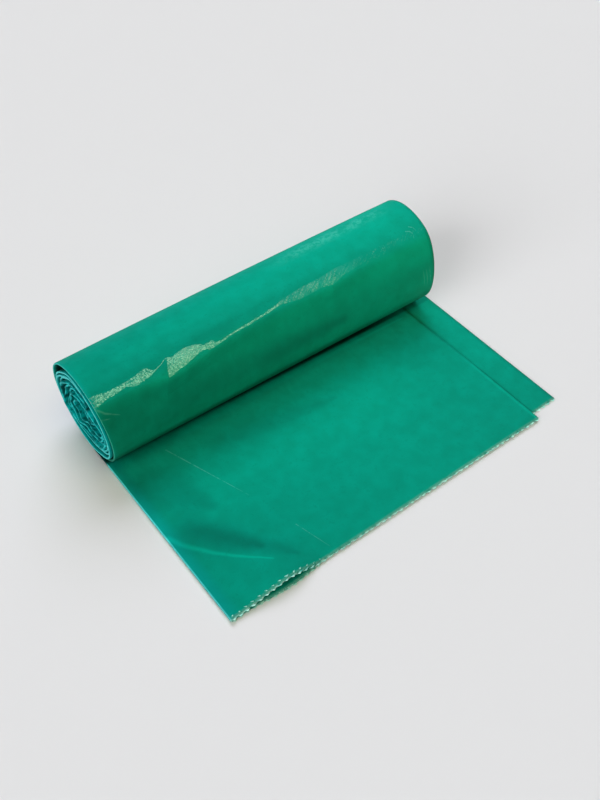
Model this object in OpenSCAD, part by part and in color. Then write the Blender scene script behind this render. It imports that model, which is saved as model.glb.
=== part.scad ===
// A coreless roll of perforated bin bags, with the last bag lying out in front of it.
// The bags are one continuous web of film. The web is folded once lengthwise, with the
// fold at the left end of the roll and the open edges at the right end, and it is wound
// into a soft oval roll that has slumped a little to the front. One turn here stands for
// a bundle of the real film's turns.

/* [Web] */
// Width of the folded web, from its fold to the edge of the lower ply
web_w = 232; // [180:1:280]
// How far the upper ply stops short of the lower one at the open side
ply_step = 19; // [8:1:35]
// Thickness of one ply
ply_t = 0.45; // [0.35:0.05:0.55]
// Air between the two plies
ply_gap = 0.3; // [0.2:0.05:0.4]

/* [Roll] */
// Long axis of the roll's oval section
roll_wide = 66.4; // [60:0.2:76]
// Short axis of the roll's oval section
roll_tall = 54; // [50:0.2:64]
// Lean of the oval at the folded end, in degrees
lean_fold = 12; // [0:1:25]
// Lean of the oval at the open end, in degrees
lean_open = 38; // [20:1:45]
// Number of turns
turns = 8; // [5:1:8]
// Part of a turn by which the web's inner end is tucked into the hollow
tuck = 0.85; // [0.5:0.05:0.95]
// Air between turns on the side where the roll is tight
slack_tight = 0.35; // [0.3:0.05:0.45]
// Air between turns on the side where the roll is loose
slack_loose = 1.2; // [0.5:0.05:1.3]
// How far the outermost turn stands off the others behind the top
stand_off = 3.2; // [0:0.2:4]
// Depth of the dents in the crumpled turns at the centre
crumple = 7; // [0:0.5:8]
// How far the roll has sunk into its flat spot
flat_sink = 0.35; // [0.1:0.05:0.6]
// How much the web is gathered in at the open end of the roll
gather = 7.5; // [0:0.1:12]
// How far the fold's edge wanders in and out from turn to turn
ragged = 0.9; // [0:0.1:1.5]
// Skew of the roll's rest line from the folded end to the open end
rest_skew = 6.6; // [0:0.2:9]

/* [Last bag] */
// Length of the last bag in front of the roll's rest line
tail_len = 132; // [100:0.1:200]
// How much shorter the lower ply is at its open corner
tail_skew = 5.7; // [0:0.1:8]
// Spacing of the teeth along the perforated edge
tooth_pitch = 3.9; // [3:0.1:6]
// Depth of the teeth
tooth_deep = 0.7; // [0.3:0.1:1.5]
// Width of the mouth that stands open beside the fold
mouth_w = 55; // [30:1:90]
// Height of the mouth's upper lip
mouth_h = 4.5; // [0:0.1:6]
// Length of the last bag that the open mouth lifts
mouth_len = 34; // [15:1:60]
// Height of the soft ridge that runs from the fold to the mouth
ridge_h = 1.6; // [0:0.1:3]
// Distance of the ridge's upper end from the perforated edge
ridge_back = 59; // [45:1:80]
// How far the fold swells over the two plies
fold_swell = 0.7; // [0:0.1:1.5]

/* [Hidden] */

film_green = [0, 0.59, 0.49];
web_t = 2 * ply_t + ply_gap;
half_wide = roll_wide / 2;
half_tall = roll_tall / 2;
fold_x = -web_w / 2;
// Polar angles in the section are seen from the open end: 0 is the back, 90 the top.
// Where the turns lie loosest
loose_dir = 125;
// Where the outermost turn stands off, and how far round
stand_off_dir = 38;
stand_off_span = 42;
// Small hollow above the rest line in front
front_dent = 1.3;
front_dent_dir = 236;
front_dent_span = 28;
// Dents of the crumpled centre: direction, span and share of the full depth
crumple_dents = [[-18, 60, 1], [66, 52, 0.5], [-100, 42, 0.6]];
// Rings in one turn of the winding
turn_rings = 25;
// How much of the hollow's radius the tucked end crosses
tuck_share = 0.6;
// Columns across a ply in the roll, in the last bag and along its teeth
roll_cols = 3;
tail_cols = 25;
cols_per_step = tail_cols - 1;
steps_per_col = max(1, round(2 * web_w / cols_per_step / tooth_pitch));
tooth_cols = cols_per_step * steps_per_col + 1;
tail_rows = 11;
// Where the last bag's rows begin and end, as shares of its length
first_row = 0.08;
last_row = 0.98;

// A smooth step from 0 at a to 1 at b
function ease(a, b, v) = let (s = min(1, max(0, (v - a) / (b - a)))) s * s * (3 - 2 * s);
// A smooth bump of height 1 around m, w to each side
function bump(m, w, v) = let (s = min(1, abs(v - m) / w)) (1 + cos(180 * s)) / 2;
// The smallest angle between two directions
function apart(a, b) = abs(((a - b) % 360 + 540) % 360 - 180);

// Share of the way across the web, from its fold to its open edge
function across(x) = min(1, max(0, (x - fold_x) / web_w));
function lean(x) = lean_fold + (lean_open - lean_fold) * across(x);
function rest_y(x) = rest_skew * (0.5 - across(x));

// The oval section: its half height, how far its centre is behind its lowest point,
// and its radius towards a polar angle
function oval_h(f) = sqrt(pow(half_wide * sin(f), 2) + pow(half_tall * cos(f), 2));
function oval_back(f) = (pow(half_wide, 2) - pow(half_tall, 2)) * sin(f) * cos(f) / oval_h(f);
function oval_r(a, f) = half_wide * half_tall
    / sqrt(pow(half_tall * cos(a - f), 2) + pow(half_wide * sin(a - f), 2));
// The polar angle of the oval's lowest point
function start_dir(f) = atan2(-oval_h(f), -oval_back(f));

// Spacing of the turns towards a polar angle
function pitch(a) = web_t + slack_tight
    + (slack_loose - slack_tight) * (1 + cos(a - loose_dir)) / 2;

function sum(list, i = 0) = i < len(list) ? list[i] + sum(list, i + 1) : 0;

// Inward dents of the turns under the outermost one, which fade towards the open end
function dents(a, u, x) =
    stand_off * ease(0.5, 1.2, u) * (1 - 0.7 * across(x))
        * bump(0, stand_off_span, apart(a, stand_off_dir))
    + front_dent * ease(1.2, 1.8, u) * bump(0, front_dent_span, apart(a, front_dent_dir))
    + crumple * ease(turns * 0.55, turns, u) * (1 - 0.4 * across(x))
        * sum([for (d = crumple_dents) d[2] * bump(0, d[1], apart(a, d[0]))]);

// A point of the web's outer face in the roll, u turns in from the rest line
function wound(u, x) = let (
    f = lean(x),
    a = start_dir(f) + 360 * u,
    tucked = 1 - tuck_share * max(0, u - turns) / tuck,
    r = (oval_r(a, f) - u * pitch(a) - dents(a, u, x)) * tucked,
    y = rest_y(x) + oval_back(f) + r * cos(a),
    z = oval_h(f) - flat_sink + r * sin(a))
    [x, y, max(z, (web_t + slack_tight) * floor(u + 0.3))];

// The inward direction there
function inward(u, x) = let (
    du = 0.004,
    d = wound(u + du, x) - wound(max(0, u - du), x))
    [0, -d[2], d[1]] / norm([d[1], d[2]]);

function in_roll(u, x, t) = wound(u, x) + t * inward(u, x);

// How far a place on the upper ply of the last bag is lifted
function lift(x, y) = let (
    s = x - fold_x,
    e = y + tail_len,
    ridge_at = ridge_back * (1 - ease(0, mouth_w * 1.1, s)))
    mouth_h * ease(0, mouth_w * 0.66, s) * (1 - ease(mouth_w * 0.66, mouth_w, s))
        * (1 - ease(0, mouth_len, e))
    + ridge_h * bump(ridge_at, 15, e) * ease(-3, 12, s) * (1 - ease(mouth_w * 0.6, mouth_w, s))
    + fold_swell * (1 - ease(0, 8, s)) * ease(0, 20, tail_len - e);

// A point of the last bag: g is the share of its length, t the height in the web
function in_tail(g, x, t) = let (
    end_y = -tail_len + (t <= ply_t ? tail_skew * across(x) : 0),
    y = rest_y(x) * (1 - g) + end_y * g,
    upper = ease(ply_t, ply_t + ply_gap, t))
    [x, y, t + upper * lift(x, y)];

// Corner points of the web's section as pairs of x and height, for n columns. The outer
// chain runs from the lower ply's open edge round the fold to the upper ply's open edge,
// and the inner chain comes back between the plies. w is the width of the lower ply.
function section(n, w) = let (
    r_out = web_t / 2,
    r_in = ply_gap / 2,
    low = [for (j = [0 : n - 1]) fold_x + r_out + (w - r_out) * j / (n - 1)],
    high = [for (j = [0 : n - 1]) fold_x + r_out + (w - ply_step - r_out) * j / (n - 1)])
    concat(
        [for (j = [n - 1 : -1 : 0]) [low[j], 0]],
        [for (q = [-45, 0, 45]) [fold_x + r_out * (1 - cos(q)), r_out * (1 + sin(q))]],
        [for (j = [0 : n - 1]) [high[j], web_t]],
        [for (j = [n - 1 : -1 : 0]) [high[j], ply_t + ply_gap]],
        [for (q = [45, 0, -45]) [fold_x + r_out - r_in * cos(q), r_out + r_in * sin(q)]],
        [for (j = [0 : n - 1]) [low[j], ply_t]]);

function ring_size(n) = 4 * n + 6;
// First points of the four faces in a ring of n columns
function face_start(n) = [0, n + 3, 2 * n + 3, 3 * n + 6];

// Rings of the last bag, from its perforated edge to the roll
function tooth_row(j) = (j % 2) * tooth_deep;
function tooth_ring() = let (
    n = tooth_cols,
    s = section(n, web_w),
    starts = face_start(n))
    [for (i = [0 : len(s) - 1]) let (
        on_face = [for (k = [0 : 3]) if (i >= starts[k] && i < starts[k] + n) i - starts[k]],
        out = len(on_face) > 0 ? tooth_row(on_face[0]) : 0)
        in_tail(1, s[i][0], s[i][1]) - [0, out, 0]];
function tail_ring(g) = [for (p = section(tail_cols, web_w)) in_tail(g, p[0], p[1])];

// A ring of the roll. Each turn's edge wanders a little, and the web is gathered in
function roll_ring(u) = let (
    drawn = gather * (0.15 * ease(0, 0.4, u) + 0.85 * ease(0.6, 0.85, u)),
    wander = ragged * sin(137 * u) * ease(0.2, 1, u))
    [for (p = section(roll_cols, web_w - drawn))
        in_roll(u, p[0], p[1]) + [wander * (1 - across(p[0])), 0, 0]];

turn_stops = [for (i = [0 : round((turns + tuck) * turn_rings)]) i / turn_rings];
tail_stops = [for (k = [0 : tail_rows - 1])
    last_row - (last_row - first_row) * k / (tail_rows - 1)];

// Triangles between ring a of na columns and ring b of nb columns, where one step of a
// meets m steps of b. at_a and at_b are their first points. The diagonals lean the same
// way on every face, so that neighbouring faces stay parallel where the web is twisted.
function skin(na, at_a, nb, at_b) = let (
    m = (nb - 1) / (na - 1),
    sa = face_start(na),
    sb = face_start(nb),
    links = [[na - 1, nb - 1, 4], [2 * na + 2, 2 * nb + 2, 1],
        [3 * na + 2, 3 * nb + 2, 4], [4 * na + 5, 4 * nb + 5, 1]])
    concat(
        [for (s = [0 : 3], k = [0 : na - 2]) let (
            half = s % 2 == 0 ? floor(m / 2) : ceil(m / 2),
            a0 = at_a + sa[s] + k,
            b0 = at_b + sb[s] + k * m)
            each concat(
                [for (j = [0 : m - 1]) [j < half ? a0 : a0 + 1, b0 + j, b0 + j + 1]],
                [[a0, b0 + half, a0 + 1]])],
        [for (l = links, k = [0 : l[2] - 1]) let (
            a0 = at_a + (l[0] + k) % ring_size(na),
            a1 = at_a + (l[0] + k + 1) % ring_size(na),
            b0 = at_b + (l[1] + k) % ring_size(nb),
            b1 = at_b + (l[1] + k + 1) % ring_size(nb))
            each [[a0, b0, b1], [a0, b1, a1]]]);

function flip(faces) = [for (f = faces) [f[2], f[1], f[0]]];

// The end of the web: a strip between the outer and the inner chain of a ring
function cap(n, at) = [for (k = [0 : 2 * n + 1]) let (
    o = at + k,
    i = at + ring_size(n) - 1 - k)
    each [[o, o + 1, i], [o + 1, i - 1, i]]];

module bag_roll() {
    color(film_green) {
        tail = [for (g = tail_stops) each tail_ring(g)];
        roll = [for (u = turn_stops) each roll_ring(u)];
        points = concat(tooth_ring(), tail, roll);
        tail_at = ring_size(tooth_cols);
        roll_at = tail_at + len(tail);
        last_roll = roll_at + (len(turn_stops) - 1) * ring_size(roll_cols);
        faces = concat(
            cap(tooth_cols, 0),
            flip(skin(tail_cols, tail_at, tooth_cols, 0)),
            [for (k = [0 : tail_rows - 2]) each skin(
                tail_cols, tail_at + k * ring_size(tail_cols),
                tail_cols, tail_at + (k + 1) * ring_size(tail_cols))],
            flip(skin(roll_cols, roll_at, tail_cols, roll_at - ring_size(tail_cols))),
            [for (k = [0 : len(turn_stops) - 2]) each skin(
                roll_cols, roll_at + k * ring_size(roll_cols),
                roll_cols, roll_at + (k + 1) * ring_size(roll_cols))],
            flip(cap(roll_cols, last_roll)));
        polyhedron(points, faces, convexity = 20);
    }
}

bag_roll();
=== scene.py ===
import functools
import math
import bpy
from mathutils import Matrix, Vector


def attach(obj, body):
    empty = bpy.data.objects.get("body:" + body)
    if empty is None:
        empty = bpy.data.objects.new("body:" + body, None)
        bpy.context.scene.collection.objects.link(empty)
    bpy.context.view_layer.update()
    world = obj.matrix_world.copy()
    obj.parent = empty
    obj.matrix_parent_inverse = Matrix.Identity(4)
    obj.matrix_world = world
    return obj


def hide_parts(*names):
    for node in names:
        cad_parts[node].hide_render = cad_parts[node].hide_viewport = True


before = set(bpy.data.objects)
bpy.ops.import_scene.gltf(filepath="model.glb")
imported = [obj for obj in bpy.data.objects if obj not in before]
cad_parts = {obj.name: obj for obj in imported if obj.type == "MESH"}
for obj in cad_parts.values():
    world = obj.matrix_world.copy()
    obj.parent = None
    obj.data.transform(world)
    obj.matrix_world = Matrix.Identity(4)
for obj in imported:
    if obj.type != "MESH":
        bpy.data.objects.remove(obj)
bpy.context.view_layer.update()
scene = bpy.context.scene
scene.view_settings.view_transform = "Standard"


class Wire:
    # an output socket that takes part in plain sums: every operator adds its Math node
    def __init__(self, board, socket):
        self.board = board
        self.socket = socket

    def math(self, operation, *others):
        return self.board.math(operation, self, *others)

    def __add__(self, other):
        return self.math("ADD", other)

    __radd__ = __add__

    def __mul__(self, other):
        return self.math("MULTIPLY", other)

    __rmul__ = __mul__

    def __sub__(self, other):
        return self.math("SUBTRACT", other)

    def __rsub__(self, other):
        return self.board.math("SUBTRACT", other, self)

    def __truediv__(self, other):
        return self.math("DIVIDE", other)

    def __rtruediv__(self, other):
        return self.board.math("DIVIDE", other, self)

    def __pow__(self, other):
        return self.math("POWER", other)

    def __neg__(self):
        return self.math("MULTIPLY", -1)

    def __abs__(self):
        return self.math("ABSOLUTE")

    def __lt__(self, other):
        return self.math("LESS_THAN", other)

    def __gt__(self, other):
        return self.math("GREATER_THAN", other)

    def sin(self):
        return self.math("SINE")

    def cos(self):
        return self.math("COSINE")

    def root(self):
        return self.math("SQRT")

    def floor(self):
        return self.math("FLOOR")

    def atMost(self, other):
        return self.math("MINIMUM", other)

    def atLeast(self, other):
        return self.math("MAXIMUM", other)

    def limited(self):
        return self.atLeast(0).atMost(1)

    def ease(self, start, end):
        # a smooth step from 0 at start to 1 at end
        return self.board.add("ShaderNodeMapRange", {"interpolation_type": "SMOOTHSTEP"},
                              {0: self, 1: start, 2: end, 3: 0.0, 4: 1.0})

    def between(self, rise, fall):
        # 1 between two smooth steps, each given by its start and its end
        return self.ease(*rise) * (1 - self.ease(*fall))

    def bump(self, middle, reach):
        # a smooth bump of height 1 that reaches this far to each side
        away = (abs(self - middle) / reach).atMost(1)
        return ((away * math.pi).cos() + 1) / 2


nodesPerLine = 40


class Board:
    # a node tree: add() makes any node from its type, its settings and its sockets
    def __init__(self, tree):
        self.tree = tree
        self.column = 0

    def add(self, kind, settings=None, values=None, result=0):
        node = self.tree.nodes.new(kind)
        self.column += 1
        node.location = ((self.column % nodesPerLine) * 180, -(self.column // nodesPerLine) * 260)
        for key, setting in (settings or {}).items():
            setattr(node, key, setting)
        for key, value in (values or {}).items():
            self.feed(self.inputOf(node, key), value)
        return Wire(self, self.outputOf(node, result))

    def inputOf(self, node, key):
        if isinstance(key, int):
            return node.inputs[key]
        return next(s for s in node.inputs if s.name == key and s.enabled)

    def outputOf(self, node, key):
        if not len(node.outputs):
            return None
        if isinstance(key, int):
            return [s for s in node.outputs if s.enabled][key]
        return next(s for s in node.outputs if s.name == key and s.enabled)

    def feed(self, socket, value):
        if isinstance(value, Wire):
            self.tree.links.new(value.socket, socket)
        else:
            socket.default_value = value

    def math(self, operation, *values):
        return self.add("ShaderNodeMath", {"operation": operation}, dict(enumerate(values)))

    def vectorMath(self, operation, *values, result=0):
        return self.add("ShaderNodeVectorMath", {"operation": operation}, dict(enumerate(values)), result)

    def scaled(self, vector, amount):
        return self.add("ShaderNodeVectorMath", {"operation": "SCALE"}, {0: vector, "Scale": amount})

    def attribute(self, name):
        return self.add("ShaderNodeAttribute", {"attribute_name": name}, {}, "Fac")

    def join(self, x, y, z):
        return self.add("ShaderNodeCombineXYZ", {}, {0: x, 1: y, 2: z})

    def split(self, vector):
        node = self.add("ShaderNodeSeparateXYZ", {}, {0: vector}).socket.node
        return [Wire(self, s) for s in node.outputs]

    def mix(self, factor, first, second, kind="RGBA", blend="MIX"):
        settings = {"data_type": kind}
        if kind == "RGBA":
            settings["blend_type"] = blend
        return self.add("ShaderNodeMix", settings, {"Factor": factor, "A": first, "B": second})

    def noise(self, where, scale, detail=2.0, roughness=0.5, distortion=0.0):
        return self.add("ShaderNodeTexNoise", {}, {
            "Vector": where, "Scale": scale, "Detail": detail,
            "Roughness": roughness, "Distortion": distortion})


# The camera, fitted to the photo's outline.
view = {
    "lens": 43.214,  # on the 36 mm long side of a 600 by 800 picture
    "place": (-0.22783, -0.33513, 0.41560),
    "down": 48.064,  # degrees below the horizon
    "aside": 37.126,  # degrees from +Y towards +X
    "roll": 0.092,
}


def addCamera():
    camera = bpy.data.objects.new("camera", bpy.data.cameras.new("camera"))
    scene.collection.objects.link(camera)
    camera.data.lens = view["lens"]
    camera.data.sensor_width = 36
    camera.data.sensor_fit = "AUTO"
    camera.data.clip_start = 0.01
    turn = Matrix.Rotation(math.radians(-view["aside"]), 4, "Z")
    tilt = Matrix.Rotation(math.radians(90 - view["down"]), 4, "X")
    roll = Matrix.Rotation(math.radians(-view["roll"]), 4, "Z")
    camera.matrix_world = Matrix.Translation(view["place"]) @ turn @ tilt @ roll
    scene.camera = camera


addCamera()
print("camera is set")


def newGeometryBoard(name, sizes):
    # a tree whose inputs are the entries of a sizes dictionary, by their own names
    tree = bpy.data.node_groups.new(name, "GeometryNodeTree")
    tree.interface.new_socket("Geometry", in_out="INPUT", socket_type="NodeSocketGeometry")
    tree.interface.new_socket("Geometry", in_out="OUTPUT", socket_type="NodeSocketGeometry")
    for label, value in sizes.items():
        kind = "NodeSocketInt" if isinstance(value, int) else "NodeSocketFloat"
        tree.interface.new_socket(label, in_out="INPUT", socket_type=kind)
    board = Board(tree)
    entry = tree.nodes.new("NodeGroupInput")
    board.sizes = {s.name: Wire(board, s) for s in entry.outputs if s.name in sizes}
    board.start = Wire(board, entry.outputs[0])
    return board


def endTree(board, geometry, material):
    solid = board.add("GeometryNodeRealizeInstances", {}, {0: geometry})
    solid = board.add("GeometryNodeSetMaterial", {}, {"Geometry": solid, "Material": material})
    board.add("NodeGroupOutput", {}, {0: solid})


def builtPiece(name, board, sizes, thickness):
    # runs the tree, gives the sheet its thickness and keeps the result as a plain mesh
    holder = bpy.data.objects.new(name + "Source", bpy.data.meshes.new(name + "Source"))
    scene.collection.objects.link(holder)
    modifier = holder.modifiers.new("shape", "NODES")
    modifier.node_group = board.tree
    for item in board.tree.interface.items_tree:
        if item.in_out == "INPUT" and item.name in sizes:
            modifier[item.identifier] = sizes[item.name]
    if thickness:
        wall = holder.modifiers.new("wall", "SOLIDIFY")
        wall.thickness = thickness
        wall.offset = 0
    result = holder.evaluated_get(bpy.context.evaluated_depsgraph_get())
    piece = bpy.data.objects.new(name, bpy.data.meshes.new_from_object(result))
    piece.data.name = name
    scene.collection.objects.link(piece)
    bpy.data.objects.remove(holder)
    print(name, "has", sum(len(p.vertices) - 2 for p in piece.data.polygons), "triangles")
    return piece


def stored(board, geometry, name, value):
    return board.add("GeometryNodeStoreNamedAttribute", {"data_type": "FLOAT", "domain": "POINT"},
                     {"Geometry": geometry, "Name": name, "Value": value})


def namedValue(board, name):
    return board.add("GeometryNodeInputNamedAttribute", {"data_type": "FLOAT"}, {"Name": name})


def neighbour(board, value, index):
    return board.add("GeometryNodeFieldAtIndex", {"data_type": "FLOAT_VECTOR", "domain": "POINT"},
                     {"Value": value, "Index": index})


def moved(board, geometry, position=None, offset=None):
    values = {"Geometry": geometry}
    if position:
        values["Position"] = position
    if offset:
        values["Offset"] = offset
    return board.add("GeometryNodeSetPosition", {}, values)


# The web of bags: one folded sheet, wound from its last bag into the roll. Lengths in metres.
web = {
    "Web width": 0.232,  # from the fold to the lower ply's open edge
    "Ply step": 0.019,  # how far the upper ply stops short
    "Ply thickness": 0.00045,
    "Ply gap": 0.0003,
    "Roll wide": 0.0664,  # axes of the oval section
    "Roll tall": 0.054,
    "Lean at fold": 12.0,  # degrees
    "Lean at open end": 38.0,
    "Turns": 8.0,
    "Tuck": 0.85,  # part of a turn tucked into the hollow
    "Slack tight": 0.00035,  # air between turns
    "Slack loose": 0.0012,
    "Stand off": 0.0032,  # outermost turn behind the top
    "Front dent": 0.0013,
    "Crumple": 0.007,
    "Flat sink": 0.00035,
    "Gather": 0.0075,
    "Ragged": 0.0009,
    "Rest skew": 0.0066,
    "Last bag": 0.132,  # length in front of the roll
    "Tail skew": 0.0057,
    "Mouth width": 0.055,
    "Mouth height": 0.0045,
    "Mouth length": 0.034,
    "Ridge height": 0.0016,
    "Ridge back": 0.059,
    "Fold swell": 0.0007,
    "Lip reach": 0.0026,  # how far the lower lip of the mouth stands out
    "Crush": 0.005,  # how far the inner turns are pushed about at their fold
    "Crush size": 0.016,
    "Crush depth": 0.03,
}
webMesh = {
    "filmThickness": 0.0004,
    "toothThickness": 0.00024,
    "columnsPerPly": 36,
    "columnsInFold": 8,
    "rowsInLastBag": 56,
    "rowsPerOuterTurn": 84,
    "rowsPerInnerTurn": 42,
    "outerTurns": 1.25,
    "crowdedAtSides": 0.10,  # closer columns at both edges
    "crowdedAtTear": 0.06,  # closer rows at the torn edge
}
# How the turns depart from an even spiral. Directions and spans are in degrees, seen from the
# fold's end, and each pair of turns is where a change sets in and where it is complete.
winding = {
    "crumples": ((-18, 60, 1), (66, 52, 0.5), (-100, 42, 0.6)),  # direction, span, share
    "crumpleFrom": 0.55,  # share of all the turns
    "crumpleLoss": 0.4,  # how much flatter the crumples are at the open end
    "looseSide": 125,
    "standOffAt": 38,
    "standOffSpan": 42,
    "standOffTurns": (0.5, 1.2),
    "standOffLoss": 0.7,
    "frontDentAt": 236,
    "frontDentSpan": 28,
    "frontDentTurns": (1.2, 1.8),
    "tuckedShare": 0.6,  # of the way to the middle
    "layerShift": 0.3,  # turns before the rest line at which a turn lies on the last
    "gathered": ((0.15, 0, 0.4), (0.85, 0.6, 0.85)),  # share, turns
    "raggedStep": 137,  # degrees from one turn's shift to the next
    "raggedTurns": (0.2, 1.0),
    "crushTurns": (3.2, 5.5),
}
mouth = {
    "highestAt": 0.66,  # shares of the mouth's width
    "ridgeMeetsTear": 1.1,
    "ridgeFades": 0.6,
    "lipAt": 0.68,
    "lipReach": 0.62,
    "ridgeReach": 0.015,  # metres
    "ridgeStarts": (-0.003, 0.012),
    "swellReach": 0.008,
    "swellFades": 0.02,
}


def bumpTowards(direction, at, span):
    # a bump of height 1 round a polar angle, both in radians
    away = direction.board.math("WRAP", direction - math.radians(at), math.pi, -math.pi)
    return away.bump(0, math.radians(span))


def woundPoint(board, turn, share):
    # y and z of the web's outer face in the roll, this many turns in from the rest line
    size = board.sizes
    halfWide, halfTall = size["Roll wide"] / 2, size["Roll tall"] / 2
    webThick = size["Ply thickness"] * 2 + size["Ply gap"]
    lean = size["Lean at fold"] + (size["Lean at open end"] - size["Lean at fold"]) * share
    lean = lean * math.radians(1)
    high = ((halfWide * lean.sin()) ** 2 + (halfTall * lean.cos()) ** 2).root()
    back = (halfWide * halfWide - halfTall * halfTall) * lean.sin() * lean.cos() / high
    direction = board.math("ARCTAN2", -high, -back) + turn * math.tau
    spacing = webThick + size["Slack tight"] + (size["Slack loose"] - size["Slack tight"]) * (
        (direction - math.radians(winding["looseSide"])).cos() + 1) / 2
    fromAxis = direction - lean
    radius = halfWide * halfTall / (
        (halfTall * fromAxis.cos()) ** 2 + (halfWide * fromAxis.sin()) ** 2).root()
    standOff = size["Stand off"] * turn.ease(*winding["standOffTurns"]) * (
        1 - winding["standOffLoss"] * share) * bumpTowards(
        direction, winding["standOffAt"], winding["standOffSpan"])
    frontDent = size["Front dent"] * turn.ease(*winding["frontDentTurns"]) * bumpTowards(
        direction, winding["frontDentAt"], winding["frontDentSpan"])
    crumpled = sum(depth * bumpTowards(direction, at, span) for at, span, depth in winding["crumples"])
    crumpled = size["Crumple"] * turn.ease(size["Turns"] * winding["crumpleFrom"], size["Turns"]) * (
        1 - winding["crumpleLoss"] * share) * crumpled
    tucked = 1 - winding["tuckedShare"] * (turn - size["Turns"]).atLeast(0) / size["Tuck"]
    reach = (radius - turn * spacing - standOff - frontDent - crumpled) * tucked
    y = size["Rest skew"] * (0.5 - share) + back + reach * direction.cos()
    z = high - size["Flat sink"] + reach * direction.sin()
    floorOfTurn = (webThick + size["Slack tight"]) * (turn + winding["layerShift"]).floor()
    return y, z.atLeast(floorOfTurn)


def liftOfUpperPly(board, fromFold, fromEdge):
    # the open mouth beside the fold, the soft ridge behind it and the swelling of the fold
    size = board.sizes
    wide = size["Mouth width"]
    highest = wide * mouth["highestAt"]
    opened = size["Mouth height"] * fromFold.ease(0, highest) * (
        1 - fromFold.ease(highest, wide)) * (1 - fromEdge.ease(0, size["Mouth length"]))
    ridgeAt = size["Ridge back"] * (1 - fromFold.ease(0, wide * mouth["ridgeMeetsTear"]))
    ridge = size["Ridge height"] * fromEdge.bump(ridgeAt, mouth["ridgeReach"]) * fromFold.ease(
        *mouth["ridgeStarts"]) * (1 - fromFold.ease(wide * mouth["ridgeFades"], wide))
    swell = size["Fold swell"] * (1 - fromFold.ease(0, mouth["swellReach"])) * (
        size["Last bag"] - fromEdge).ease(0, mouth["swellFades"])
    return opened + ridge + swell


def lipOut(size, fromFold):
    # the lower ply bulges out under the open mouth
    wide = size["Mouth width"]
    return size["Lip reach"] * fromFold.bump(wide * mouth["lipAt"], wide * mouth["lipReach"])


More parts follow.
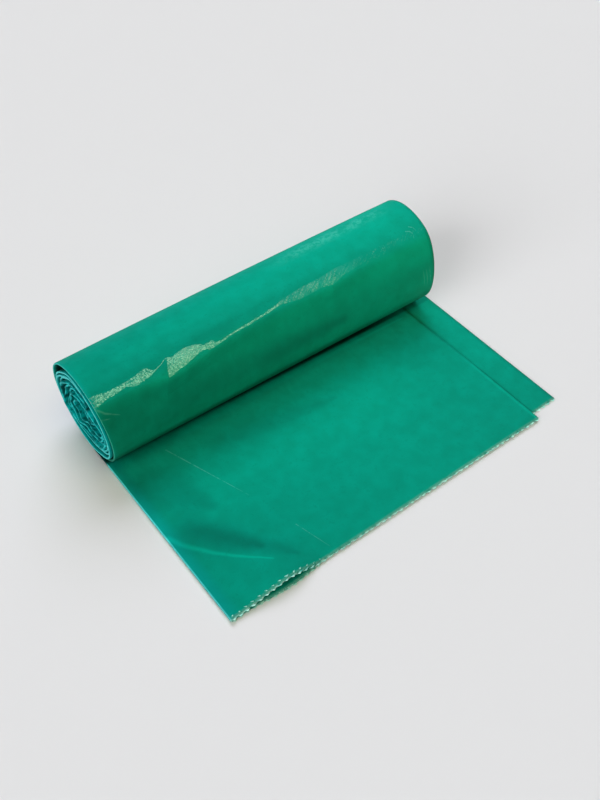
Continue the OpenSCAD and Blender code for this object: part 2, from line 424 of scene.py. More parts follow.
def makeWebTree(material):
    board = newGeometryBoard("webOfBags", web)
    size = board.sizes
    mesh = webMesh
    columns = 2 * mesh["columnsPerPly"] + mesh["columnsInFold"] + 1
    outerRows = round(mesh["rowsPerOuterTurn"] * mesh["outerTurns"])
    innerRows = round(mesh["rowsPerInnerTurn"] * (web["Turns"] + web["Tuck"] - mesh["outerTurns"]))
    rows = mesh["rowsInLastBag"] + outerRows + innerRows + 1
    sheet = board.add("GeometryNodeMeshGrid", {}, {
        "Size X": 1.0, "Size Y": 1.0, "Vertices X": columns, "Vertices Y": rows})
    gridX, gridY = board.split(board.add("GeometryNodeInputPosition"))[:2]
    column = (gridX + 0.5) * (columns - 1)
    row = (gridY + 0.5) * (rows - 1)

    # across: the lower ply comes first, then the fold, then the upper ply
    perPly, inFold = mesh["columnsPerPly"], mesh["columnsInFold"]
    lowShare = (1 - column / perPly).atLeast(0)
    highShare = ((column - perPly - inFold) / perPly).atLeast(0)
    plyShare = lowShare + highShare
    plyShare = plyShare - mesh["crowdedAtSides"] * (plyShare * math.tau).sin()
    bend = ((column - perPly) / inFold).limited() * math.pi - math.pi / 2
    isUpper = column > perPly + inFold * 0.5
    isLower = 1 - isUpper

    # along: the last bag comes first, then the finely cut outer turn, then the others
    beyond = (row - mesh["rowsInLastBag"]).atLeast(0)
    turn = beyond.atMost(outerRows) / mesh["rowsPerOuterTurn"] + (
        beyond - outerRows).atLeast(0) / mesh["rowsPerInnerTurn"]
    out = (1 - row / mesh["rowsInLastBag"]).atLeast(0)
    out = out + mesh["crowdedAtTear"] * (out * math.pi).sin()

    halfThick = size["Ply thickness"] + size["Ply gap"] / 2
    bendRadius = (size["Ply thickness"] + size["Ply gap"]) / 2
    foldX = -size["Web width"] / 2
    drawn = size["Gather"] * sum(part * turn.ease(*turns) for part, *turns in winding["gathered"])
    plyWidth = size["Web width"] - drawn - halfThick - size["Ply step"] * isUpper
    x = foldX + halfThick - bendRadius * bend.cos() + plyWidth * plyShare
    height = halfThick + bendRadius * bend.sin()  # of the film in the web
    share = ((x - foldX) / size["Web width"]).limited()
    wander = size["Ragged"] * (turn * math.radians(winding["raggedStep"])).sin() * turn.ease(
        *winding["raggedTurns"]) * (1 - share)
    endY = isLower * (size["Tail skew"] * share - lipOut(size, x - foldX)) - size["Last bag"]
    woundY, woundZ = woundPoint(board, turn, share)

    sheet = stored(board, sheet, "across", (x - foldX) * (isUpper - isLower))
    sheet = stored(board, sheet, "turn", turn - out)
    sheet = stored(board, sheet, "height", height)
    sheet = stored(board, sheet, "out", out)
    sheet = stored(board, sheet, "stretch", out.ease(0.995, 1.0) * 0.3)
    place = board.join(x + wander, woundY * (1 - out) + endY * out, woundZ)
    pushed = board.add("ShaderNodeTexNoise", {}, {
        "Vector": place, "Scale": 1 / size["Crush size"], "Detail": 1.0, "Roughness": 0.4}, "Color")
    pushed = board.vectorMath("SUBTRACT", pushed, (0.5, 0.5, 0.5))
    amount = size["Crush"] * 2 * turn.ease(*winding["crushTurns"]) * (
        1 - (x - foldX).ease(0, size["Crush depth"]))
    sheet = moved(board, sheet, board.vectorMath("ADD", place, board.scaled(pushed, amount)))

    # the film stands off the web's outer face by its height in the web
    index = board.add("GeometryNodeInputIndex")
    atRow = board.math("MODULO", index, rows)
    place = board.add("GeometryNodeInputPosition")
    ahead = neighbour(board, place, index + (atRow < rows - 1.5))
    behind = neighbour(board, place, index - (atRow > 0.5))
    stepY, stepZ = board.split(board.vectorMath("SUBTRACT", ahead, behind))[1:]
    inward = board.vectorMath("NORMALIZE", board.join(0.0, -stepZ, stepY))
    filmHeight = namedValue(board, "height")
    sheet = moved(board, sheet, offset=board.scaled(inward, filmHeight))

    # the upper ply of the last bag lifts
    placeX, placeY = board.split(board.add("GeometryNodeInputPosition"))[:2]
    upper = filmHeight.ease(size["Ply thickness"], size["Ply thickness"] + size["Ply gap"])
    inTail = namedValue(board, "out").ease(0, 0.03)
    lift = liftOfUpperPly(board, placeX - foldX, placeY + size["Last bag"]) * upper * inTail
    sheet = moved(board, sheet, offset=board.join(0.0, 0.0, lift))
    sheet = board.add("GeometryNodeSetShadeSmooth", {}, {"Geometry": sheet})
    endTree(board, sheet, material)
    return board


# the torn perforation: teeth with stretched tips on both plies, and slits that stayed closed
perforation = {
    "Tooth pitch": 0.0039,
    "Tooth depth": 0.0007,
    "Tip": 0.0004,  # film drawn out beyond the tooth
    "Tip curl": 0.0006,
    "Uneven": 0.25,  # how much the teeth differ
    "Slit inset": 0.002,  # the second row, behind the open mouth
    "Slit share": 0.27,  # of the upper ply's width that shows the second row
    "Seed": 11,
}
toothMesh = {
    "cuts": 5,
    "overlap": 0.0002,  # metres by which a tooth's root lies under the ply's edge
    "narrowing": 0.82,
    "curlLoss": 1.2,  # towards the sides
    "turned": 0.12,  # radians
    "lowScale": (1.0, 1.0, 0.4),
    "slitScale": (0.6, 0.8, 1.2),
}
toothNeeds = ("Web width", "Ply step", "Ply thickness", "Ply gap", "Last bag", "Tail skew",
              "Mouth width", "Mouth height", "Mouth length", "Ridge height", "Ridge back",
              "Fold swell", "Lip reach")
toothSizes = {**{name: web[name] for name in toothNeeds}, **perforation}


def toothRow(board, width, inset, upper, shape, scale, seed):
    # teeth side by side along the upper or the lower ply, each a little longer or turned
    size = board.sizes
    count = (width / size["Tooth pitch"]).floor()
    line = board.add("GeometryNodeMeshLine", {}, {"Count": count})
    index = board.add("GeometryNodeInputIndex")
    fromFold = (index + 0.5) * width / count
    fromEdge = board.math("ADD", inset, 0.0)
    if upper:
        skew = 0.0
        height = size["Ply thickness"] * 1.5 + size["Ply gap"]
        height = height + liftOfUpperPly(board, fromFold, fromEdge)
    else:
        skew = size["Tail skew"] * fromFold / size["Web width"] - lipOut(size, fromFold)
        height = size["Ply thickness"] * 0.5
    line = moved(board, line, board.join(
        fromFold - size["Web width"] / 2, fromEdge + skew - size["Last bag"], height))
    low, high = 1 - size["Uneven"], 1 + size["Uneven"]
    stretchOf = board.add("FunctionNodeRandomValue", {"data_type": "FLOAT_VECTOR"}, {
        "Min": board.join(low, low, low), "Max": board.join(high, high, high), "Seed": seed})
    turnOf = board.add("FunctionNodeRandomValue", {"data_type": "FLOAT"}, {
        "Min": -toothMesh["turned"], "Max": toothMesh["turned"], "Seed": seed + 1})
    return board.add("GeometryNodeInstanceOnPoints", {}, {
        "Points": line, "Instance": shape, "Rotation": board.join(0.0, 0.0, turnOf),
        "Scale": board.vectorMath("MULTIPLY", stretchOf, scale)})


def makeToothTree(material):
    board = newGeometryBoard("tornEdge", toothSizes)
    size = board.sizes
    tooth = board.add("GeometryNodeMeshGrid", {}, {
        "Size X": 1.0, "Size Y": 1.0, "Vertices X": toothMesh["cuts"], "Vertices Y": toothMesh["cuts"]})
    gridX, gridY = board.split(board.add("GeometryNodeInputPosition"))[:2]
    outward = 0.5 - gridY
    reach = (size["Tooth depth"] + size["Tip"]) * outward
    narrow = 1 - outward.ease(0.0, 0.8) * toothMesh["narrowing"]
    tooth = stored(board, tooth, "stretch", 0.2 + 0.8 * outward.ease(0.05, 0.6))
    tooth = moved(board, tooth, board.join(
        gridX * size["Tooth pitch"] * narrow, toothMesh["overlap"] - reach,
        size["Tip curl"] * outward * outward * (1 - abs(gridX) * toothMesh["curlLoss"])))

    upperWidth = size["Web width"] - size["Ply step"]
    seed = size["Seed"]
    rows = (
        toothRow(board, upperWidth, 0.0, True, tooth, (1.0, 1.0, 1.0), seed),
        toothRow(board, size["Web width"], 0.0, False, tooth, toothMesh["lowScale"], seed + 5),
        toothRow(board, upperWidth * size["Slit share"], size["Slit inset"], True, tooth,
                 toothMesh["slitScale"], seed + 9))
    joined = board.tree.nodes.new("GeometryNodeJoinGeometry")
    for row in reversed(rows):
        board.tree.links.new(row.socket, joined.inputs[0])
    endTree(board, Wire(board, joined.outputs[0]), material)
    return board


def newMaterial(name):
    material = bpy.data.materials.new(name)
    material.use_nodes = True
    material.node_tree.nodes.clear()
    return material, Board(material.node_tree)


film = {
    "teal": (0.0, 0.306, 0.202),
    "tealLight": (0.0, 0.352, 0.240),
    "speck": (0.0, 0.25, 0.16),
    "foldGlowTeal": (0.0, 0.40, 0.39),  # painted glow: bluer where the light passes the fold
    "foldHighlightLine": (0.14, 0.80, 0.76),  # and a painted highlight, lightest on the fold itself
    "sheenAndWhite": (0.07, 0.48, 0.37),  # painted sheen on top of the roll, also the colour of the whitened rims and creases
    "stretched": (0.58, 1.00, 0.84),  # film whitened by stretching
    # painted glints in the grain of the highlight streak
    "paintedGlint": (0.33, 0.62, 0.44),
    "dull": 0.85,  # roughness where the film is slack
    "taut": 0.12,  # and where it is pulled flat
    "gloss": 0.4,
    "glossTint": (0.10, 1.0, 0.85, 1),
    "cloudScale": 105.0,
    "speckScale": 420.0,
    "speckShare": 0.5,
    "sparkScale": 1100.0,
    "sparkShare": 0.3,
    "grainSize": 0.0015,
    "grainDepth": 0.00001,
    "waveSize": 0.018,
    "waveDepth": 0.00003,
    "waveBend": (0.012, -0.009, 0.007),  # how far the waves bend the crinkles
    "crinkleSize": 0.006,
    "crinkleDepth": 0.0002,
    "crumpleScale": 260.0,
    "crumpleDepth": 0.0007,
    "lightAlong": 1.3,  # painted light: lighter per metre along the roll, towards the open end
    "shadeOut": 0.14,  # painted shade: how much darker the torn edge is
    "lightMiddle": 0.14,  # painted light: how much lighter the middle of the last bag is
    "secondTurn": 1.02,  # where the outermost turn has passed
    "innerTurns": (3.2, 4.6),  # where the crumpled middle begins and is complete
    "shadedTint": 0.2,  # how much less blue comes by way of other film
}
# Painted glow at the fold, as bluer and lighter film: where each tint begins and ends, in metres from the
# fold.
foldGlowTints = {
    "band": (0.0005, 0.003),
    "bandTailLoss": 0.0017,
    "bandLeast": 0.25,  # on the outermost turn
    "tail": (0.001, 0.009),
    "tailShare": 0.4,
    "middle": (0.004, 0.02),
    "middleShare": 0.8,
    "line": (0.00025, 0.00048),
    "lineTailGain": 0.00025,
    "lineLeast": 0.3,
    "lineGain": 0.4,
    "lineMiddleLoss": 0.75,
}
# Whitened places, and painted sheen and halo. From and to are smooth steps along the roll in metres or
# round it in turns.
whiteningAndSheen = {
    "sheenTurn": 0.462,
    "sheenReach": 0.037,
    "sheenFrom": (0.01, 0.05),
    "sheenTo": (0.085, 0.112),
    "sheenShare": 0.4,
    "rims": (0.1018, 0.1042, 0.1068),  # the layers' edges that show at the open end
    "rimReach": 0.0005,
    "rimFrom": (0.74, 0.765),
    "rimTo": (0.78, 0.815),
    "rimShare": 0.5,
    "haloSoft": 0.004,  # in turns; painted halo beside the highlight facets
    "haloFrom": (0.004, 0.02),
    "haloTo": (0.045, 0.07),
    "haloShare": 0.25,
    "creaseShare": 0.8,
    "tear": (0.994, 0.999),  # shares of the last bag's length
}
# Flat facets of the outer turn, along which a lamp mirrors: where they begin and end round
# the roll, in turns, for places along it. Each place is in metres from the middle.
facetTop = (
    (-0.116, 0.598), (-0.111, 0.597), (-0.105, 0.607), (-0.093, 0.605), (-0.088, 0.603),
    (-0.084, 0.597), (-0.081, 0.597), (-0.078, 0.609), (-0.076, 0.617), (-0.0716, 0.608),
    (-0.0696, 0.598), (-0.0672, 0.599), (-0.0646, 0.606), (-0.0627, 0.601), (-0.059, 0.597),
    (-0.0557, 0.597), (-0.051, 0.602), (-0.048, 0.607), (-0.045, 0.618), (-0.0425, 0.62),
    (-0.0395, 0.616), (-0.0365, 0.629), (-0.0337, 0.633), (-0.024, 0.625), (-0.0145, 0.624),
    (-0.0047, 0.62), (0.004, 0.613), (0.007, 0.607), (0.021, 0.599), (0.036, 0.599),
    (0.046, 0.593), (0.054, 0.595), (0.074, 0.595), (0.085, 0.594), (0.106, 0.596), (0.116, 0.6))
facetEnd = (
    (-0.116, 0.634), (-0.11, 0.636), (-0.105, 0.627), (-0.099, 0.6256), (-0.093, 0.621),
    (-0.088, 0.633), (-0.084, 0.6325), (-0.081, 0.629), (-0.078, 0.629), (-0.076, 0.622),
    (-0.0716, 0.611), (-0.0696, 0.602), (-0.0675, 0.604), (-0.0668, 0.667), (-0.0634, 0.6596),
    (-0.0596, 0.652), (-0.0558, 0.651), (-0.0533, 0.645), (-0.05, 0.641), (-0.0468, 0.634),
    (-0.0442, 0.634), (-0.0422, 0.636), (-0.0396, 0.643), (-0.0365, 0.641), (-0.0337, 0.639),
    (-0.024, 0.6315), (-0.0145, 0.6305), (-0.0047, 0.6265), (0.004, 0.621), (0.0077, 0.619),
    (0.021, 0.632), (0.036, 0.631), (0.0455, 0.64), (0.053, 0.6256), (0.073, 0.619),
    (0.083, 0.618), (0.105, 0.616), (0.116, 0.61))
# where the film starts to fall away under the facets, smoother than their borders
facetFall = (
    (-0.116, 0.634), (-0.1, 0.632), (-0.088, 0.636), (-0.079, 0.642), (-0.072, 0.652),
    (-0.067, 0.6575), (-0.062, 0.6575), (-0.055, 0.654), (-0.046, 0.648), (-0.036, 0.642),
    (-0.024, 0.634), (-0.0047, 0.629), (0.0077, 0.627),
    (0.021, 0.633), (0.0455, 0.641), (0.06, 0.63), (0.085, 0.624), (0.116, 0.622))
facet = {
    "shear": 0.097,  # metres that a facet leans along the roll in one turn
    "shearTurn": 0.6,
    "turns": (0.55, 0.70),  # the range of the lists above
    "mirrorTurn": 0.6165,  # where the smooth roll mirrors the lamp
    "mirrorDrift": 0.45,
    "mirrorPlace": -0.066,
    "bend": 0.683,  # metres: curvature times the way round, squared
    "bendDrift": 0.93,
    "bendGain": 0.15,
    "bendGainDrift": 3.1,
    "fade": (0.004, 0.05),
    "flatFrom": 0.592,
    "flatTo": (0.04, 0.09),  # metres along the roll over which the facets end
    "fallSlope": 0.41,  # how steeply the film falls away under the facets
    "fallDrift": -0.35,
    "fallSpan": 0.15,
    "fallOnset": 0.012,
    "fallOnsetDrift": 0.4,
    "fallLeast": 0.5,
    "ragged": 0.007,  # turns by which the grain frays a facet's borders
    "raggedScale": 760.0,
    "soft": 0.0009,
    "speckleScale": 1300.0,
    "least": 0.66,  # shine between the speckles
    "leastGain": 0.2,
    "leastAt": -0.058,
    "leastReach": 0.016,
    "feather": (0.002, 0.014),  # metres: beyond it a facet breaks up into strokes
    "featherEnd": (0.040, 0.060),
    "featherLoss": 0.75,
    "strokeShare": 0.74,
    "strokeAim": (0.6, 0.8),  # the strokes' direction, along and round the roll
    "strokeScale": (1000, 125),
    "strayAt": 0.612,
    "strayReach": 0.024,
    "strayFrom": (0.0, 0.02),
    "strayTo": (0.075, 0.105),
    "strayShare": 0.7,
    "patchScale": 150.0,
}
rollEnds = (-0.116, 0.116)
roundPerTurn = 0.163  # metres round the outer turn


class FilmPoint:
    # where on the film a shaded point lies, with the two noises that most of its colours use
    def __init__(self, board):
        self.place = board.add("ShaderNodeTexCoord", {}, {}, "Object")
        self.x, self.y, self.z = board.split(self.place)
        self.across = board.attribute("across")  # metres from the fold, below 0 on the lower ply
        self.turn = board.attribute("turn")  # in from the rest line, below 0 in the last bag
        self.fromFold = abs(self.across)
        self.onLowerPly = self.across < 0
        self.onUpperPly = self.across > 0
        self.inTail = self.turn < 0
        self.out = (-self.turn).limited()
        self.pastFirstTurn = self.turn > film["secondTurn"]
        self.inMiddle = self.turn.ease(*film["innerTurns"])
        self.onTail = board.join(self.x, self.y, 0.0)
        self.onRoll = board.join(self.x, self.turn * roundPerTurn, 0.0)
        self.onEnd = board.join(self.y, self.z, 0.0)
        self.clouds = board.noise(self.place, film["cloudScale"], 4.0, 0.65)
        self.specks = board.noise(self.place, film["speckScale"], 3.0, 0.7)


def curveOver(board, value, span, levels, points):
    # a drawn curve over value, with both axes scaled to the curve node's 0 to 1
    low, high = span
    bottom, top = levels
    node = board.tree.nodes.new("ShaderNodeFloatCurve")
    curve = node.mapping.curves[0]
    while len(curve.points) < len(points):
        curve.points.new(0.5, 0.5)
    for point, (x, y) in zip(curve.points, points):
        point.location = ((x - low) / (high - low), (y - bottom) / (top - bottom))
        point.handle_type = "VECTOR"
    node.mapping.update()
    board.feed(node.inputs["Value"], (value - low) / (high - low))
    return Wire(board, node.outputs[0]) * (top - bottom) + bottom


def facetBorder(board, point, places):
    leaning = point.x + (point.turn - facet["shearTurn"]) * facet["shear"]
    return curveOver(board, leaning, rollEnds, facet["turns"], places)


def facetHeight(board, point):
    # the film swells just enough to be flat where the facets are, then falls away
    x, turn = point.x, point.turn
    fallFrom = facetBorder(board, point, facetFall)
    inside = turn.atLeast(facet["flatFrom"]).atMost(fallFrom)
    away = inside - (facet["mirrorTurn"] - facet["mirrorDrift"] * (x - facet["mirrorPlace"]) ** 2)
    bend = facet["bend"] + facet["bendDrift"] * (-x).atLeast(0)
    gain = facet["bendGain"] - facet["bendGainDrift"] * x
    swell = away * away * (bend * 0.5 + gain * away)
    slope = away * (bend + gain * 3 * away)
    fade = 1 - abs(turn - inside).ease(*facet["fade"])
    under = (turn - fallFrom).atLeast(0).atMost(facet["fallSpan"])
    under = under * under / (under + facet["fallOnset"] + facet["fallOnsetDrift"] * x.atLeast(0))
    fall = (facet["fallSlope"] + facet["fallDrift"] * x) * roundPerTurn * (
        under - under * under / (2 * facet["fallSpan"]))
    flatPart = 1 - x.ease(*facet["flatTo"])
    fallPart = facet["fallLeast"] + (1 - facet["fallLeast"]) * flatPart
    return (swell + slope * (turn - inside)) * fade * flatPart - fall * fallPart


def facetShine(board, point, start, end):
    # 1 where the film is pulled taut: grainy facets, and feathery strokes towards the open end
    x, turn, place = point.x, point.turn, point.place
    soft = facet["soft"]
    speckle = board.noise(place, facet["speckleScale"], 1.0, 0.5)
    grain = board.noise(place, facet["raggedScale"], 1.0, 0.5)
    frayed = turn + (grain - 0.5) * facet["ragged"]
    inside = frayed.between((start - soft, start + soft), (end - soft, end + soft))
    least = facet["least"] + facet["leastGain"] * x.bump(facet["leastAt"], facet["leastReach"])
    feathered = x.ease(*facet["feather"])
    solidPart = inside * (1 - feathered) * (least + (1 - least) * speckle.ease(0.38, 0.58))

    around = turn * roundPerTurn
    aimX, aimRound = facet["strokeAim"]
    fine, coarse = facet["strokeScale"]
    strokes = board.noise(board.join(
        (x * aimX + around * aimRound) * fine, (x * aimRound - around * aimX) * coarse, 0.0),
        1.0, 0.0, 0.5)
    strokePart = inside * feathered * facet["strokeShare"] * strokes.ease(0.41, 0.62) * (
        1 - facet["featherLoss"] * x.ease(*facet["featherEnd"]))
    patches = board.noise(place, facet["patchScale"], 1.0, 0.5).ease(0.44, 0.60)
    stray = turn.bump(facet["strayAt"], facet["strayReach"]) * strokes.ease(0.50, 0.66) * x.between(
        facet["strayFrom"], facet["strayTo"]) * patches * facet["strayShare"]
    return (solidPart + strokePart).atLeast(stray)


# Painted light and shade on the upper ply of the last bag: places in metres, reach at the start, change
# of tone.
# Each runs out to a point at its end.
tailPaintedShades = (
    (((-0.115, -0.0745), (-0.1116, -0.0816), (-0.101, -0.095), (-0.08, -0.1175)),
     0.0028, 0.34),  # painted highlight along the ridge
    (((-0.106, -0.078), (-0.0912, -0.093), (-0.08, -0.107)), 0.018, -0.19),  # painted shade in the hollow
    # more painted shade
    (((-0.104, -0.08), (-0.086, -0.099), (-0.068, -0.121)), 0.015, -0.18),
    (((-0.0548, -0.0371), (-0.0216, -0.0438), (0.0143, -0.049)), 0.013, -0.13),
    (((-0.108, -0.04), (-0.096, -0.056), (-0.085, -0.07)), 0.026, -0.19),
    # painted light in front of the crevice
    (((-0.07, -0.0178), (0, -0.0186), (0.09, -0.022)), 0.0045, 0.26),
)
# Whitish creases there: places and reach.
tailCreases = (
    (((-0.0848, -0.023), (-0.0659, -0.076)), 0.00055),
    (((-0.0572, -0.1061), (-0.0515, -0.1274)), 0.0004),
)
# Whitish creases on the roll's face: places along and round it in metres, reach.
rollMarks = (
    (((-0.1156, 0.1038), (-0.1117, 0.1079), (-0.105, 0.1118)), 0.0011),
    (((-0.115, 0.11), (-0.1105, 0.1112)), 0.0007),
    (((0.1016, 0.0958), (0.104, 0.0968), (0.1049, 0.0992), (0.104, 0.1018)), 0.0006),
    (((0.1052, 0.094), (0.1074, 0.0955), (0.108, 0.098)), 0.0005),
)
# Painted shade and light there, written like the painted marks of the last bag.
rollPaintedShades = (
    (((-0.12, 0.113), (-0.095, 0.11), (-0.069, 0.11)), 0.012, -0.14),
    (((-0.125, 0.12), (-0.085, 0.12), (0.04, 0.125)), 0.019, -0.22),
    (((-0.01, 0.125), (0.075, 0.1235), (0.14, 0.12)), 0.018, -0.14),
    (((0.09, 0.08), (-0.09, 0.084)), 0.022, 0.11),
)
# Painted shade in the crumpled middle of the fold's end: y and z in metres, reach, change of tone.
endPaintedShade = (
    (((-0.0004, 0.0475), (-0.0034, 0.0409), (-0.0062, 0.033), (-0.0058, 0.0187)), 0.0026, -0.85),
    (((0.0307, 0.03), (0.0285, 0.0238), (0.024, 0.0204)), 0.0024, -0.75),
    (((0.0229, 0.0125), (0.0224, 0.0105)), 0.0018, -0.9),
)
# The last bag's painted light along the roll, darkest at the fold's end.
tailPaintedLight = ((-0.116, 0.85), (-0.05, 0.935), (0.02, 1.02), (0.05, 1.0), (0.08, 0.955), (0.116, 0.97))
# Painted shade where the last bag runs in under the roll, and on the roll's face just above it.
creviceShade = {
    "at": -0.0146,  # metres: how far under the roll's front the last bag is seen
    "drift": -0.033,
    "start": -0.0004,
    "reach": 0.0025,
    "reachDrift": -0.010,
    "depth": 0.93,
    "reliefFrom": (0.06, 0.11),
    "relief": 0.7,  # how much weaker it is at the open end
    "turns": (0.815, 0.85),
    "turnDrift": 0.15,
    "rollShare": 0.6,  # on the roll's own face, less towards the open end
    "rollLoss": 0.25,
    "rollLossFrom": (0.03, 0.10),
}
# Other painted light and shade, with places in metres from the fold and in shares of the last bag's
# length.
paintedTones = {
    "tailLevels": (0.8, 1.1),
    "middleAt": 0.42,
    "middleReach": 0.28,
    "middleTo": (0.03, 0.09),
    "outFrom": (0.45, 1.0),
    "edge": web["Web width"] - web["Ply step"],
    "edgeLight": 0.5,  # painted highlight on the upper ply's edge, with a painted shadow line beside it
    "edgeLightFrom": (-0.0024, -0.0010),
    "edgeDark": 0.4,
    "edgeDarkAt": 0.0004,
    "edgeDarkReach": 0.0014,
    "edgeFrom": (0.2, 0.8),
    "mouthDark": 0.25,
    "mouthTo": (0.036, 0.062),
    "lipFrom": (0.965, 0.985),
    "gapDark": 0.8,
    "gapFrom": (0.0008, 0.0025),
    "gapTo": (0.03, 0.05),
    "gapTurn": 0.1,
    "crumpleScale": 300.0,
    "crumpleMiddle": 0.6,
    "crumpleLightAndShade": 0.9,
    "endTo": -0.095,  # metres along the roll
}


def nearLine(board, point, places, reach):
    # 1 on the line through these places, 0 beyond its reach, which narrows towards the end
    near = 0.0
    parts = len(places) - 1
    for part, (start, end) in enumerate(zip(places, places[1:])):
        step = Vector(end) - Vector(start)
        fromStart = board.vectorMath("SUBTRACT", point, (*start, 0))
        perLength = (*(step / step.length_squared), 0)
        along = board.vectorMath("DOT_PRODUCT", fromStart, perLength, result="Value")
        along = board.add("ShaderNodeClamp", {}, {0: along})
        sideways = board.vectorMath("SUBTRACT", fromStart, board.scaled((*step, 0), along))
        away = board.vectorMath("LENGTH", sideways, result="Value")
        drawn = along.math("MULTIPLY_ADD", 1 / parts, part / parts)
        width = (drawn * drawn).math("MULTIPLY_ADD", -0.8 * reach, reach)
        near = away.ease(width, 0.0).atLeast(near)
    return near


def changeBy(board, point, marks):
    return sum(change * nearLine(board, point, places, reach) for places, reach, change in marks)


def creasesNear(board, point, marks):
    return functools.reduce(Wire.atLeast, [
        nearLine(board, point, places, reach) for places, reach in marks])


def creviceShadePart(point):
    # painted shade in the crevice: on the last bag under the roll's front, and on the roll just above
    x, turn = point.x, point.turn
    beyond = creviceShade["at"] + creviceShade["drift"] * x - point.y
    onBag = (1 - beyond.ease(creviceShade["start"], creviceShade["reach"] + creviceShade["reachDrift"] * x)) * point.inTail
    underRoll = (turn - creviceShade["turnDrift"] * x).ease(*creviceShade["turns"]) * (turn < 1)
    underRoll = underRoll * (creviceShade["rollShare"] - creviceShade["rollLoss"] * x.ease(*creviceShade["rollLossFrom"]))
    return onBag.atLeast(underRoll) * (1 - creviceShade["relief"] * x.ease(*creviceShade["reliefFrom"]))


def paintedFilmShading(board, point):
    # painted light and shade: drifts along and round, the painted marks of light and shade, and painted
    # shade where films meet
    x, out, inTail = point.x, point.out, point.inTail
    # painted light in the middle of the last bag
    middle = 1 + film["lightMiddle"] * out.bump(paintedTones["middleAt"], paintedTones["middleReach"]) * (
        1 - x.ease(*paintedTones["middleTo"]))
    # painted light along the last bag, and painted shade towards its torn edge
    tailDrift = curveOver(board, x, rollEnds, paintedTones["tailLevels"], tailPaintedLight) * middle * (
        1 - film["shadeOut"] * out.ease(*paintedTones["outFrom"]))
    # painted light along the roll, and the last bag's painted light and shade
    tone = board.mix(inTail, 1.0 + x * film["lightAlong"], tailDrift, "FLOAT")
    # painted light and shade on the upper ply of the last bag
    tone = tone * (1 + changeBy(board, point.onTail, tailPaintedShades) * inTail * point.onUpperPly)
    # painted shade and light on the roll's face
    tone = tone * (1 + changeBy(board, point.onRoll, rollPaintedShades) * point.onLowerPly)

    # painted highlight on the upper ply's edge, and a painted shadow line beside it on the lower ply
    fromEdge = point.across - paintedTones["edge"]
    paintedEdgeLight = paintedTones["edgeLight"] * fromEdge.ease(*paintedTones["edgeLightFrom"]) - paintedTones["edgeDark"] * (
        -point.across - paintedTones["edge"]).bump(paintedTones["edgeDarkAt"], paintedTones["edgeDarkReach"])
    tone = tone * (1 + inTail * out.ease(*paintedTones["edgeFrom"]) * paintedEdgeLight)
    # painted shade inside the open mouth, on the lower ply
    inMouth = inTail * point.onLowerPly * (1 - point.fromFold.ease(*paintedTones["mouthTo"])) * (
        1 - out.ease(*paintedTones["lipFrom"]))
    tone = tone * (1 - paintedTones["mouthDark"] * inMouth)
    # painted shade in the crevice under the roll
    tone = tone * (1 - creviceShade["depth"] * creviceShadePart(point))

    # painted shade between the turns at the fold's end, and painted light and shade in the crumpled
    # middle
    inGap = point.fromFold.between(paintedTones["gapFrom"], paintedTones["gapTo"]) * point.pastFirstTurn.atLeast(
        (point.turn > paintedTones["gapTurn"]) * point.onUpperPly)
    tone = tone * (1 - paintedTones["gapDark"] * inGap * (1 - point.inMiddle))
    crumple = board.noise(point.place, paintedTones["crumpleScale"], 2.0, 0.6).ease(0.34, 0.64)
    tone = tone * (1 + point.inMiddle * (crumple - paintedTones["crumpleMiddle"]) * paintedTones["crumpleLightAndShade"])
    # painted shade in the dark slits of the fold's end
    dark = changeBy(board, point.onEnd, endPaintedShade) * point.pastFirstTurn * (x < paintedTones["endTo"])
    return tone * (1 + dark)


def paintedFoldGlow(board, point, shade):
    # painted glow: bluer towards the fold, and a painted highlight, lightest, on it
    edgeSeen = point.pastFirstTurn.atLeast(point.inTail)
    start, end = foldGlowTints["band"]
    folded = (1 - point.fromFold.ease(start, end - foldGlowTints["bandTailLoss"] * point.inTail)) * (
        foldGlowTints["bandLeast"] + (1 - foldGlowTints["bandLeast"]) * edgeSeen)
    folded = folded.atLeast(
        (1 - point.fromFold.ease(*foldGlowTints["tail"])) * point.inTail * foldGlowTints["tailShare"])
    folded = folded.atLeast(
        (1 - point.fromFold.ease(*foldGlowTints["middle"])) * point.inMiddle * foldGlowTints["middleShare"])
    shade = board.mix(folded, shade, (*film["foldGlowTeal"], 1))
    # painted highlight along the fold itself
    start, end = foldGlowTints["line"]
    onFold = (1 - point.fromFold.ease(start, end + foldGlowTints["lineTailGain"] * point.inTail)) * (
        foldGlowTints["lineLeast"] + foldGlowTints["lineGain"] * edgeSeen) * (
        1 - foldGlowTints["lineMiddleLoss"] * point.inMiddle)
    return board.mix(onFold, shade, (*film["foldHighlightLine"], 1))


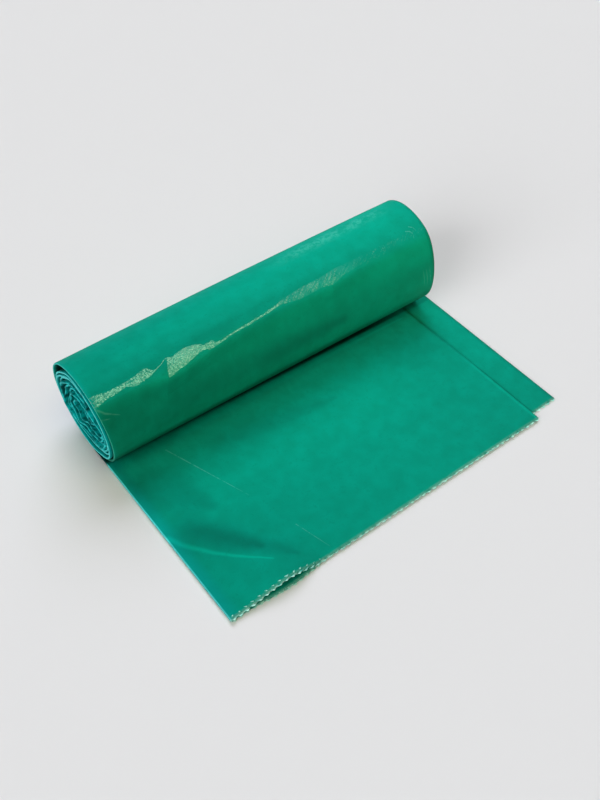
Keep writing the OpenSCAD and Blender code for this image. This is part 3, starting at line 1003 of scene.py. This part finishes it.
def paintedSheenAndWhitening(board, point, start, end):
    # painted sheen under the top line, layers' edges at the open end, painted halo by the facets, creases
    x, turn, specks = point.x, point.turn, point.specks
    # painted sheen on the lighter band near the top of the roll
    sheenAndWhite = turn.bump(whiteningAndSheen["sheenTurn"], whiteningAndSheen["sheenReach"]) * x.between(
        whiteningAndSheen["sheenFrom"], whiteningAndSheen["sheenTo"]) * point.clouds.ease(0.3, 0.6)
    sheenAndWhite = sheenAndWhite * (0.3 + specks.ease(0.4, 0.6))
    rims = sum(x.bump(rim, whiteningAndSheen["rimReach"]) for rim in whiteningAndSheen["rims"])
    rims = rims * turn.between(whiteningAndSheen["rimFrom"], whiteningAndSheen["rimTo"]) * specks.ease(0.3, 0.5)
    # painted halo of light round the highlight facets
    soft = whiteningAndSheen["haloSoft"]
    paintedHalo = turn.between((start - soft, start), (end, end + soft)) * x.between(
        whiteningAndSheen["haloFrom"], whiteningAndSheen["haloTo"]) * specks.ease(0.3, 0.6)
    whitenedWithSheen = (sheenAndWhite * whiteningAndSheen["sheenShare"]).atLeast(paintedHalo * whiteningAndSheen["haloShare"])
    whitenedWithSheen = whitenedWithSheen.atLeast(rims * whiteningAndSheen["rimShare"]) * point.onLowerPly
    creases = (creasesNear(board, point.onRoll, rollMarks) * point.onLowerPly).atLeast(
        creasesNear(board, point.onTail, tailCreases) * point.inTail * point.onUpperPly)
    return whitenedWithSheen.atLeast(creases * specks.ease(0.32, 0.58) * whiteningAndSheen["creaseShare"])


def filmRelief(board, point):
    # what the bump shows: the facets, grain, soft waves, crinkles and the crumpled middle
    grain = board.noise(point.place, 1 / film["grainSize"], 1.0, 0.5)
    waves = board.noise(point.place, 1 / film["waveSize"], 2.0, 0.5)
    height = facetHeight(board, point) * point.onLowerPly
    height = height + grain * film["grainDepth"] + waves * film["waveDepth"]
    bent = board.vectorMath("ADD", point.place, board.join(*(waves * bend for bend in film["waveBend"])))
    crinkles = board.add("ShaderNodeTexVoronoi", {"feature": "SMOOTH_F1"}, {
        "Vector": bent, "Scale": 1 / film["crinkleSize"], "Smoothness": 0.35})
    byFacets = point.turn.bump(0.62, 0.08) * point.onLowerPly
    height = height + crinkles * film["crinkleDepth"] * (1 - byFacets)
    crumple = board.noise(point.place, film["crumpleScale"], 2.0, 0.5) * film["crumpleDepth"]
    return height + crumple * point.inMiddle * (1 - point.fromFold.ease(0.02, 0.04))


def makeFilmMaterial():
    material, board = newMaterial("polytheneFilm")
    point = FilmPoint(board)
    specks = point.specks
    shade = board.mix(point.clouds.ease(0.3, 0.7), (*film["teal"], 1), (*film["tealLight"], 1))
    shade = board.mix(specks.ease(0.5, 0.72) * film["speckShare"], shade, (*film["speck"], 1))
    shade = paintedFoldGlow(board, point, shade)
    start = facetBorder(board, point, facetTop)
    end = facetBorder(board, point, facetEnd)
    # painted sheen and halo, and the whitened rims and creases
    shade = board.mix(paintedSheenAndWhitening(board, point, start, end), shade, (*film["sheenAndWhite"], 1))
    stretch = board.attribute("stretch").atLeast(
        (-point.turn).ease(*whiteningAndSheen["tear"]) * specks.ease(0.42, 0.62))
    shade = board.mix(stretch * specks.ease(0.25, 0.55), shade, (*film["stretched"], 1))
    shine = facetShine(board, point, start, end) * point.onLowerPly
    # painted glints where the highlight streak falls
    glintGrain = board.noise(point.place, film["sparkScale"], 1.0, 0.5).ease(0.5, 0.62)
    shade = board.mix(shine * glintGrain * film["sparkShare"], shade, (*film["paintedGlint"], 1))

    # painted light and shade, then a painted tint: light that comes by way of other film is greener
    tone = paintedFilmShading(board, point)
    shaded = (point.turn.ease(0.6, 0.66) * (point.turn < 1)).atLeast(
        point.inTail * (1 - (-point.turn).ease(0.05, 0.35)) * 0.5)
    tint = board.join(tone, tone, tone * (1 - film["shadedTint"] * shaded))
    shade = board.mix(1.0, shade, tint, blend="MULTIPLY")

    bump = board.add("ShaderNodeBump", {}, {
        "Strength": 1.0, "Distance": 1.0, "Height": filmRelief(board, point)})
    surface = board.add("ShaderNodeBsdfPrincipled", {}, {
        "Base Color": shade, "Roughness": film["dull"] + (film["taut"] - film["dull"]) * shine,
        "Normal": bump, "Specular IOR Level": film["gloss"], "Specular Tint": film["glossTint"]})
    board.add("ShaderNodeOutputMaterial", {}, {"Surface": surface})
    return material


filmMaterial = makeFilmMaterial()
rollFilm = builtPiece("rollFilm", makeWebTree(filmMaterial), web, webMesh["filmThickness"])
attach(rollFilm, "root")
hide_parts("bag_roll")

tornEdge = builtPiece("tornEdge", makeToothTree(filmMaterial), toothSizes, webMesh["toothThickness"])
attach(tornEdge, "root")
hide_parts("bag_roll")
print("film is dressed")


# The floor and the lamps.
studio = {
    "floorShade": 0.761,
    "skyLight": 0.06,  # what the world adds to the lamps
    "skyShade": 0.76,  # what the camera sees of it
    "lampAngle": 45,  # degrees: how soft the three large lamps are
    "streakPower": 11.2,
    "streakColour": (1.0, 0.176, 0.126),
    "streakEnds": ((0.04, -0.269, 1.0), (0.86, -0.360, 1.0)),
    "streakWidth": 0.06,
    "floorReach": 6.0,
    "floorDrop": 0.0002,  # metres below the film
}
# name, strength, direction it comes from, colour
softLamps = (
    ("backLamp", 2.45, (0.35, 0.62, 0.70), (0.84, 0.84, 1.0)),
    ("frontLamp", 0.70, (0.1, -0.34, 0.94), (1.0, 1.0, 0.60)),
    ("sideLamp", 2.2, (-0.90, -0.18, 0.40), (0.97, 0.98, 1.0)),
)


def addFloor():
    reach = studio["floorReach"]
    corners = [(-reach, -reach), (reach, -reach), (reach, reach), (-reach, reach)]
    mesh = bpy.data.meshes.new("floor")
    mesh.from_pydata([(x, y, -studio["floorDrop"]) for x, y in corners], [], [(0, 1, 2, 3)])
    floor = bpy.data.objects.new("floor", mesh)
    scene.collection.objects.link(floor)
    material, board = newMaterial("paleFloor")
    shade = studio["floorShade"]
    surface = board.add("ShaderNodeBsdfDiffuse", {}, {"Color": (shade, shade, shade, 1)})
    board.add("ShaderNodeOutputMaterial", {}, {"Surface": surface})
    mesh.materials.append(material)


def addSun(name, strength, source, colour):
    # a soft lamp from this direction, which the film doesn't mirror
    sun = bpy.data.objects.new(name, bpy.data.lights.new(name, "SUN"))
    scene.collection.objects.link(sun)
    sun.data.energy = strength
    sun.data.color = colour
    sun.data.angle = math.radians(studio["lampAngle"])
    sun.location = source
    sun.rotation_euler = (-Vector(source)).to_track_quat("-Z", "Y").to_euler()
    sun.visible_glossy = False


def addStrip(name, energy, start, end, width):
    # a long narrow lamp between two points, facing the roll
    start, end = Vector(start), Vector(end)
    along = (end - start).normalized()
    up = (start + end) / 2
    up = (up - up.dot(along) * along).normalized()
    side = up.cross(along)
    strip = bpy.data.objects.new(name, bpy.data.lights.new(name, "AREA"))
    scene.collection.objects.link(strip)
    strip.data.shape = "RECTANGLE"
    strip.data.size = (end - start).length
    strip.data.size_y = width
    strip.data.energy = energy
    turned = Matrix((along, side, up)).transposed().to_4x4()
    strip.matrix_world = Matrix.Translation((start + end) / 2) @ turned
    return strip


def addWorld():
    world = bpy.data.worlds.new("studio")
    scene.world = world
    world.use_nodes = True
    world.node_tree.nodes.clear()
    board = Board(world.node_tree)
    seen = board.add("ShaderNodeLightPath", {}, {}, "Is Camera Ray")
    strength = seen * (studio["skyShade"] - studio["skyLight"]) + studio["skyLight"]
    sky = board.add("ShaderNodeBackground", {}, {"Color": (1, 1, 1, 1), "Strength": strength})
    board.add("ShaderNodeOutputWorld", {}, {"Surface": sky})


addFloor()
addWorld()
for softLamp in softLamps:
    addSun(*softLamp)
streakLamp = addStrip("streakLamp", studio["streakPower"], *studio["streakEnds"], studio["streakWidth"])
streakLamp.data.color = studio["streakColour"]
streakLamp.visible_diffuse = False
print("stage is set")
